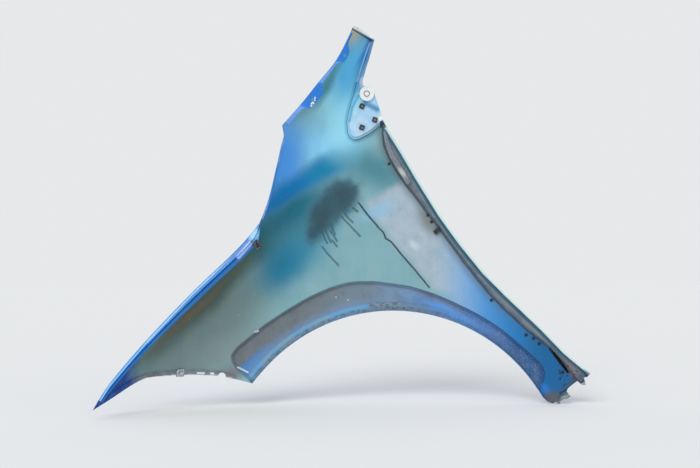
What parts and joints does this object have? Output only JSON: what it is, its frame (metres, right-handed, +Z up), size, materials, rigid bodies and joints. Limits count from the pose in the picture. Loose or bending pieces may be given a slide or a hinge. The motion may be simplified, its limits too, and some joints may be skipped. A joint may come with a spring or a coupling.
{
  "type": "car fender",
  "caption": "Right front car fender pressed from sheet steel, with a flared wheel arch, folded hood and pillar flanges, a mirror-trim recess and a door flange.",
  "frame": {"origin": "on the flat inboard face of the upper rear bolting boss, 9.25 mm below the centre of its bolt hole", "axes": "as on the car: +X towards the rear, +Y outboard, away from the car's middle, +Z up"},
  "size_m": [0.8284, 0.237, 0.8183],
  "materials": {
    "blue_paint": "blue paint on the folded edges, thin dusty overspray from blue to grey-green inside, with stains and dirt",
    "black_plastic": "dusty moulded black plastic",
    "grey_foam": "matt grey sealing foam",
    "black_rubber": "matt black rubber",
    "spring_steel": "dull zinc-plated spring steel, dirty"
  },
  "bodies": {
    "root": {"fender_panel": "blue_paint", "pillar_grommet_1": "black_plastic", "pillar_grommet_2": "black_plastic", "pillar_grommet_3": "black_plastic", "door_flange_seal_pad": "grey_foam", "door_flange_buffer": "black_rubber", "bumper_nut_clip": "spring_steel", "hood_ledge_clip": "spring_steel"}
  },
  "joints": []
}
